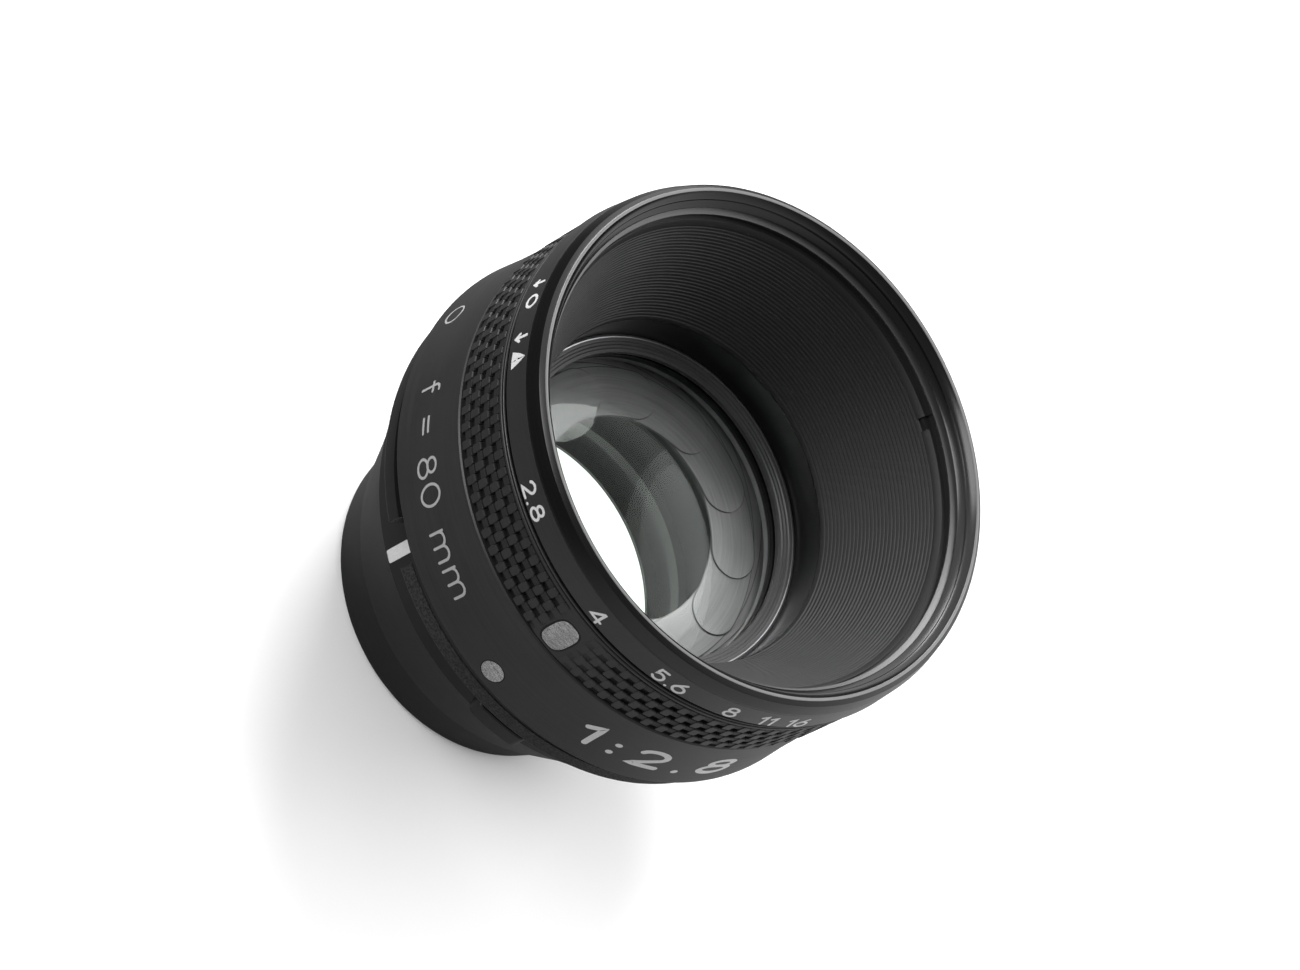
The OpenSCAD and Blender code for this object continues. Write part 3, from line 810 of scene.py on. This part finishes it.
# width and strokes of each sign at height 1; ^ is a solid triangle and v is an arrow
GLYPHS = {
    "0": (0.72, [arc(0.36, 0.5, 0.36, 0.5, 90, 450, 33)]),
    "1": (0.30, [[(0.0, 0.74), (0.26, 1.0), (0.26, 0.0)]]),
    "2": (0.62, [arc(0.31, 0.70, 0.29, 0.30, 165, -38) + [(0.02, 0.0), (0.63, 0.0)]]),
    "4": (0.72, [[(0.54, 0.0), (0.54, 1.0), (0.50, 1.0), (0.0, 0.26), (0.72, 0.26)]]),
    "5": (0.62, [[(0.56, 1.0), (0.12, 1.0), (0.06, 0.52)] + arc(0.29, 0.325, 0.31, 0.325, 125, -150, 20)]),
    "6": (0.64, [arc(0.32, 0.32, 0.32, 0.32, 155, 515, 29),
                 [(0.50, 1.0), (0.36, 0.86), (0.16, 0.62), (0.04, 0.44)]]),
    "8": (0.64, [arc(0.32, 0.76, 0.25, 0.24, -90, 270, 25), arc(0.32, 0.27, 0.32, 0.27, 90, 450, 25)]),
    ".": (0.12, [[(0.05, 0.0), (0.07, 0.0)]]),
    ":": (0.12, [[(0.05, 0.12), (0.07, 0.12)], [(0.05, 0.62), (0.07, 0.62)]]),
    "m": (0.98, [[(0.0, 0.0), (0.0, 0.66)],
                 [(0.0, 0.40)] + arc(0.24, 0.42, 0.24, 0.25, 165, 0, 10) + [(0.48, 0.0)],
                 [(0.48, 0.40)] + arc(0.72, 0.42, 0.24, 0.25, 165, 0, 10) + [(0.96, 0.0)]]),
    "=": (0.55, [[(0.0, 0.32), (0.55, 0.32)], [(0.0, 0.60), (0.55, 0.60)]]),
    "f": (0.42, [arc(0.34, 0.80, 0.18, 0.20, 70, 180, 8) + [(0.16, 0.0)], [(0.0, 0.62), (0.38, 0.62)]]),
    " ": (0.30, []),
    "o": (1.0, [arc(0.5, 0.5, 0.5, 0.5, 0, 360, 41)]),
    "^": (0.62, [[(0.0, 0.0), (0.62, 0.0), (0.31, 0.70), (0.0, 0.0)]]),
    "v": (0.50, [[(0.25, 1.0), (0.25, 0.05)], [(0.0, 0.38), (0.25, 0.03), (0.50, 0.38)]]),
}


def ribbon(points, half):
    """Outline of a stroke of constant width with round ends: (left side, right side), point for point."""
    pts = [Vector(p) for p in points]
    kept = [pts[0]]
    for p in pts[1:]:
        if (p - kept[-1]).length > TOUCHING:
            kept.append(p)
    pts = kept
    closed = (pts[0] - pts[-1]).length < 1e-3 and len(pts) > 3
    if closed:
        pts = pts[:-1]
    left, right = [], []
    n = len(pts)
    for i, p in enumerate(pts):
        before = (p - pts[i - 1]).normalized() if closed or i > 0 else None
        after = (pts[(i + 1) % n] - p).normalized() if closed or i < n - 1 else None
        u, w = before or after, after or before
        side = Vector((-u.y - w.y, u.x + w.x)).normalized()
        k = min(half / max(side.dot(Vector((-u.y, u.x))), 0.5), half * 1.6)
        left.append(p + side * k)
        right.append(p - side * k)
    if not closed:
        for end, inner, sign in ((0, 1, 1), (n - 1, n - 2, -1)):
            out = (pts[end] - pts[inner]).normalized()
            cap_l, cap_r = [], []
            for share in (0.5, 0.87, 1.0):
                wide = math.sqrt(max(0.0, 1 - share * share)) * half
                s = Vector((-out.y, out.x)) * wide * -sign
                cap_l.append(pts[end] + out * half * share + s)
                cap_r.append(pts[end] + out * half * share - s)
            if end == 0:
                left, right = cap_l[::-1] + left, cap_r[::-1] + right
            else:
                left, right = left + cap_l, right + cap_r
    return left, right, closed


def resample(points, longest):
    """The same line with extra points, so that it follows the round outside."""
    out = [points[0]]
    for a, b in zip(points, points[1:]):
        parts = max(1, math.ceil(math.dist(a, b) / longest))
        out += [(a[0] + (b[0] - a[0]) * k / parts, a[1] + (b[1] - a[1]) * k / parts)
                for k in range(1, parts + 1)]
    return out


def text_width(text, gap):
    return sum(GLYPHS[c][0] for c in text) + gap * (len(text) - 1)


def lettering(name, lines, stroke, radius, material, body, slot, wide=1.0, gap=0.26):
    """Marks painted on the outside. lines holds (text, direction of its middle, height of its middle,
    letter height)."""
    verts, faces = [], []
    proud, sink = 0.018, 0.05
    for text, direction, z_mid, height in lines:
        x = -text_width(text, gap) / 2
        for char in text:
            advance, strokes = GLYPHS[char]
            for number, points in enumerate(strokes):
                scaled = resample([((x + px) * height * wide, (py - 0.5) * height) for px, py in points], 0.4)
                left, right, closed = ribbon(scaled, stroke / 2)
                base, n = len(verts), len(left)
                lift = proud + 0.002 * number
                for rise in (lift, -sink):
                    for side in (left, right):
                        for p in side:
                            z = z_mid + p.y
                            r = radius(z)
                            verts.append(at(r + rise, direction + math.degrees(p.x / r), z))
                tl, tr, bl, br = (base + k * n for k in range(4))
                for i in range(n if closed else n - 1):
                    j = (i + 1) % n
                    faces += [[tl + i, tl + j, tr + j, tr + i], [bl + j, bl + i, br + i, br + j],
                              [tl + j, tl + i, bl + i, bl + j], [tr + i, tr + j, br + j, br + i]]
                if not closed:
                    for i in (0, n - 1):
                        faces.append([tl + i, tr + i, br + i, bl + i])
            x += advance + gap
    faces = [corners for corners in (apart(face, verts) for face in faces) if len(corners) > 2]
    adopt(build_mesh(name, verts, faces, material), body, slot)


DIAL_OUTLINE = [(25.60, 41.45), (25.31, 44.6)]


def ring_r(z):
    """Radius of the dial ring's outside at height z."""
    return radius_between(*DIAL_OUTLINE, z)


def make_lettering():
    """The dial's numbers and signs, and the focal length and largest aperture on the band."""
    numbers = [("2.8", -116.4), ("4", -90.0), ("5.6", -69.7), ("8", -54.2), ("11", -45.2), ("16", -37.5)]
    lettering("dial_numbers", [(t, a, 42.8, 1.55) for t, a in numbers], 0.27, ring_r, WHITE,
              "aperture_ring", "white_paint", wide=1.15)
    lettering("dial_triangle", [("^", -146.4, 43.34, 1.5)], 0.62, ring_r, WHITE,
              "aperture_ring", "white_paint")
    marks = [("v", -151.3, 43.15, 1.55), ("o", -160.1, 43.25, 1.3), ("v", -165.0, 43.2, 1.35)]
    lettering("dial_marks", marks, 0.28, ring_r, WHITE, "aperture_ring", "white_paint")
    lettering("band_focal_length", [("f = 80 mm", -129.5, 29.0, 2.6)], 0.26, band_r, GREY_MARK, "housing",
              "white_paint", wide=1.05, gap=0.30)
    lettering("band_ratio", [("1:2.8", -50.0, 29.0, 3.2)], 0.64, band_r, WHITE, "housing", "white_paint",
              wide=1.5, gap=0.42)
    lettering("band_ring_mark", [("o", -172.4, 27.6, 2.2)], 0.2, band_r, GREY_MARK, "housing", "white_paint")


# ---------- CAD pieces that stay ----------

def finish_kept_nodes():
    """Materials of the CAD nodes that are shown as they are."""
    finishes = {"center_tube": ANODISED, "iris_cover": HOOD_FINISH, "iris_base": BLADE_FINISH,
                "iris_cam_ring": BLADE_FINISH, "guide_screws": SCREW_FINISH, "cell_screws": SCREW_FINISH}
    for node, finish in finishes.items():
        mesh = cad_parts[node].data
        mesh.materials.clear()
        mesh.materials.append(finish)


# ---------- stage, light and camera ----------

FLOOR_HALF_M = 3.0
DISC_OUTLINE = [(0.0, 1.12), (13.86, 1.12), (13.86, 1.08), (0.0, 1.08)]


def make_stage():
    """The floor, and the bright disc on it that shows through the iris."""
    bm = bmesh.new()
    bmesh.ops.create_grid(bm, x_segments=8, y_segments=8, size=FLOOR_HALF_M)
    mesh = bpy.data.meshes.new("floor")
    bm.to_mesh(mesh)
    bm.free()
    mesh.materials.append(floor_paint())
    floor = bpy.data.objects.new("floor", mesh)
    bpy.context.scene.collection.objects.link(floor)
    disc = turned("light_disc", DISC_OUTLINE, light_disc_paint())


WORLD_BASE = 0.17
WORLD_LOBES = [
    # direction, cosine where it starts, cosine where it is full, strength
    ((0.17, 0.64, -0.20), 0.00, 0.75, 0.80),
    ((-0.76, 0.57, 0.31), 0.30, 0.90, 0.95),
    ((0.62, 0.52, 0.58), 0.35, 0.90, 0.60),
]


def make_world():
    """Soft surroundings: white where the camera sees them, and for other rays bright behind and above,
    dim in front."""
    world = bpy.data.worlds.new("studio")
    bpy.context.scene.world = world
    world.use_nodes = True
    tree = world.node_tree
    new, link = tree.nodes.new, tree.links.new
    place = new("ShaderNodeTexCoord").outputs[0]
    total = None
    for direction, low, high, strength in WORLD_LOBES:
        dot = new("ShaderNodeVectorMath")
        dot.operation = "DOT_PRODUCT"
        link(place, dot.inputs[0])
        dot.inputs[1].default_value = Vector(direction).normalized()
        lobe = new("ShaderNodeMapRange")
        lobe.interpolation_type = "SMOOTHSTEP"
        link(dot.outputs[1], lobe.inputs[0])
        for index, value in enumerate((low, high, 0.0, strength)):
            lobe.inputs[index + 1].default_value = value
        add = new("ShaderNodeMath")
        add.inputs[1].default_value = WORLD_BASE
        link(lobe.outputs[0], add.inputs[0])
        if total is not None:
            link(total, add.inputs[1])
        total = add.outputs[0]
    seen = new("ShaderNodeMapRange")
    link(new("ShaderNodeLightPath").outputs[0], seen.inputs[0])
    link(total, seen.inputs[3])
    seen.inputs[4].default_value = 1.0
    background = tree.nodes["Background"]
    background.inputs[0].default_value = (1.0, 1.0, 1.0, 1)
    link(seen.outputs[0], background.inputs[1])


LIGHT_AIM = Vector((0, 0, 25))


def soft_light(name, at_mm, size_mm, watts):
    """A round soft lamp that points at the middle of the lens."""
    light = bpy.data.lights.new(name, "AREA")
    light.shape = "DISK"
    light.size = size_mm * MM
    light.energy = watts
    obj = bpy.data.objects.new(name, light)
    obj.location = Vector(at_mm) * MM
    obj.rotation_euler = (LIGHT_AIM - Vector(at_mm)).to_track_quat("-Z", "Y").to_euler()
    bpy.context.scene.collection.objects.link(obj)


def make_lights():
    soft_light("key_light", (-380, 560, 700), 480, 9.0)
    soft_light("side_light", (420, 560, 620), 700, 3.5)
    soft_light("fill_light", (-580, -330, 460), 500, 3.6)


def make_camera():
    data = bpy.data.cameras.new("camera")
    data.lens, data.sensor_width = FOCAL_MM, SENSOR_MM
    data.clip_start, data.clip_end = 0.01, 50
    camera = bpy.data.objects.new("camera", data)
    bpy.context.scene.collection.objects.link(camera)
    aim = (Vector(CAMERA_TARGET) - Vector(CAMERA_AT)).to_track_quat("-Z", "Y").to_matrix()
    roll = Matrix.Rotation(math.radians(CAMERA_ROLL), 3, "Z")
    camera.matrix_world = Matrix.Translation(Vector(CAMERA_AT) * MM) @ (aim @ roll).to_4x4()
    bpy.context.scene.camera = camera


make_aperture_ring()
make_tongue()
make_hood()
make_front_cell()
make_retaining_ring()
make_blades()
make_glass()
make_grip()
make_edge_ring()
make_band()
make_flange()
make_lugs()
make_barrel()
make_bore_rings()
make_inlays()
make_lettering()
finish_kept_nodes()
make_stage()
make_world()
make_lights()
make_camera()
bpy.context.scene.view_settings.view_transform = "Standard"
